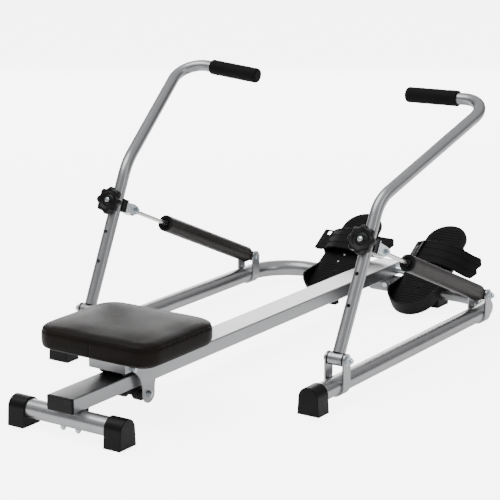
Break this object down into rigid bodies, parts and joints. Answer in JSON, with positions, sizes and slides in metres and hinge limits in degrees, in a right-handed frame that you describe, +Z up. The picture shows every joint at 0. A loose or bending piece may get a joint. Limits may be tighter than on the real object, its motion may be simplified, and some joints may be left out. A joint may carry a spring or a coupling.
{
  "type": "rowing machine",
  "caption": "Rowing machine with a rail, a rolling seat, a U-shaped outrigger frame, swinging levers on oil dampers and tilting foot plates.",
  "frame": {"origin": "on the floor under the middle of the machine's overall length and width", "axes": "+X to the rower's right, +Y along the rail from the seat to the foot plates, +Z up"},
  "size_m": [0.8712, 1.4776, 0.6387],
  "materials": {
    "silver_paint": "satin metallic silver paint",
    "zinc": "bright zinc plating",
    "rod_chrome": "hard chrome",
    "damper_black": "satin black paint",
    "black_plastic": "fine-grained black plastic",
    "knob_plastic": "satin black phenolic",
    "pedal_plastic": "textured black plastic",
    "strap_rubber": "matt black rubber",
    "stop_rubber": "matt black rubber",
    "grip_foam": "ribbed black foam rubber",
    "roller_plastic": "hard black polyurethane",
    "bush_plastic": "moulded nylon",
    "piston_steel": "turned steel",
    "vinyl": "grained black vinyl",
    "board": "plywood painted dark"
  },
  "bodies": {
    "frame": {"arm_foot_left": "black_plastic", "arm_foot_right": "black_plastic", "arm_left": "silver_paint", "arm_right": "silver_paint", "damper_bolts": "zinc", "damper_bracket_left": "silver_paint", "damper_bracket_right": "silver_paint", "front_cross": "silver_paint", "front_feet": "black_plastic", "front_mount_bolts": "zinc", "front_saddle": "silver_paint", "main_rail": "silver_paint", "pedal_axle": "zinc", "pivot_bolts": "zinc", "pivot_bracket_left": "silver_paint", "pivot_bracket_right": "silver_paint", "rail_cap_front": "black_plastic", "rail_cap_rear": "black_plastic", "rear_foot_left": "black_plastic", "rear_foot_right": "black_plastic", "rear_mount_bolts": "zinc", "rear_stabiliser": "silver_paint", "seat_stops": "stop_rubber"},
    "seat": {"seat_cushion": "vinyl", "seat_board": "board", "seat_carriage": "silver_paint", "roller_axles": "zinc", "seat_screws": "zinc"},
    "roller_rear": {"roller_rear": "roller_plastic"},
    "roller_front": {"roller_front": "roller_plastic"},
    "roller_lower": {"roller_lower": "roller_plastic"},
    "lever_left": {"lever_left": "silver_paint", "lever_bushes_left": "bush_plastic", "grip_left": "grip_foam", "clevis_left": "zinc", "clevis_saddle_left": "black_plastic", "clevis_pin_left": "zinc"},
    "knob_left": {"knob_left": "knob_plastic", "knob_stud_left": "zinc"},
    "damper_left": {"damper_cylinder_left": "damper_black", "damper_gland_left": "black_plastic"},
    "rod_left": {"piston_rod_left": "rod_chrome", "piston_left": "piston_steel"},
    "pedal_left": {"pedal_left": "pedal_plastic", "pedal_strap_left": "strap_rubber"},
    "lever_right": {"lever_right": "silver_paint", "lever_bushes_right": "bush_plastic", "grip_right": "grip_foam", "clevis_right": "zinc", "clevis_saddle_right": "black_plastic", "clevis_pin_right": "zinc"},
    "knob_right": {"knob_right": "knob_plastic", "knob_stud_right": "zinc"},
    "damper_right": {"damper_cylinder_right": "damper_black", "damper_gland_right": "black_plastic"},
    "rod_right": {"piston_rod_right": "rod_chrome", "piston_right": "piston_steel"},
    "pedal_right": {"pedal_right": "pedal_plastic", "pedal_strap_right": "strap_rubber"}
  },
  "joints": [
    {"name": "seat_slide", "type": "slide", "parent": "frame", "child": "seat", "axis": [0, 1, 0], "range_m": [-0.14, 0.8]},
    {"name": "roller_rear_spin", "type": "hinge", "parent": "seat", "child": "roller_rear", "pos_m": [0, -0.55182, 0.1128], "axis": [1, 0, 0], "continuous": true},
    {"name": "roller_front_spin", "type": "hinge", "parent": "seat", "child": "roller_front", "pos_m": [0, -0.44182, 0.1128], "axis": [1, 0, 0], "continuous": true},
    {"name": "roller_lower_spin", "type": "hinge", "parent": "seat", "child": "roller_lower", "pos_m": [0, -0.49682, 0.0412], "axis": [1, 0, 0], "continuous": true},
    {"name": "lever_left_swing", "type": "hinge", "parent": "frame", "child": "lever_left", "pos_m": [-0.347, -0.20781, 0.097], "axis": [1, 0, 0], "range_deg": [0, 30]},
    {"name": "knob_left_turn", "type": "hinge", "parent": "lever_left", "child": "knob_left", "pos_m": [-0.347, -0.09582, 0.33717], "axis": [0, 0.9063, -0.4226], "continuous": true},
    {"name": "damper_left_tilt", "type": "hinge", "parent": "frame", "child": "damper_left", "pos_m": [-0.347, 0.47419, 0.088], "axis": [1, 0, 0], "range_deg": [-1.5, 0.5]},
    {"name": "rod_left_slide", "type": "slide", "parent": "damper_left", "child": "rod_left", "axis": [0, -0.9173, 0.3983], "range_m": [0, 0.1415]},
    {"name": "pedal_left_tilt", "type": "hinge", "parent": "frame", "child": "pedal_left", "pos_m": [-0.1215, 0.60798, 0.076], "axis": [1, 0, 0], "range_deg": [-25, 0]},
    {"name": "lever_right_swing", "type": "hinge", "parent": "frame", "child": "lever_right", "pos_m": [0.347, -0.20781, 0.097], "axis": [1, 0, 0], "range_deg": [0, 30]},
    {"name": "knob_right_turn", "type": "hinge", "parent": "lever_right", "child": "knob_right", "pos_m": [0.347, -0.08341, 0.33098], "axis": [0, 0.8829, -0.4695], "continuous": true},
    {"name": "damper_right_tilt", "type": "hinge", "parent": "frame", "child": "damper_right", "pos_m": [0.347, 0.47419, 0.088], "axis": [1, 0, 0], "range_deg": [-1.5, 0.5]},
    {"name": "rod_right_slide", "type": "slide", "parent": "damper_right", "child": "rod_right", "axis": [0, -0.92, 0.392], "range_m": [0, 0.1415]},
    {"name": "pedal_right_tilt", "type": "hinge", "parent": "frame", "child": "pedal_right", "pos_m": [0.1355, 0.60798, 0.076], "axis": [1, 0, 0], "range_deg": [-25, 0]}
  ],
  "couplings": [
    {"joint": "roller_rear_spin", "follows": "seat_slide", "rad_per_m": -50},
    {"joint": "roller_front_spin", "follows": "seat_slide", "rad_per_m": -50},
    {"joint": "roller_lower_spin", "follows": "seat_slide", "rad_per_m": 55.556},
    {"joint": "damper_left_tilt", "follows": "lever_left_swing", "ratio": -0.01},
    {"joint": "rod_left_slide", "follows": "lever_left_swing", "m_per_rad": 0.26866},
    {"joint": "damper_right_tilt", "follows": "lever_right_swing", "ratio": -0.034},
    {"joint": "rod_right_slide", "follows": "lever_right_swing", "m_per_rad": 0.2674}
  ]
}
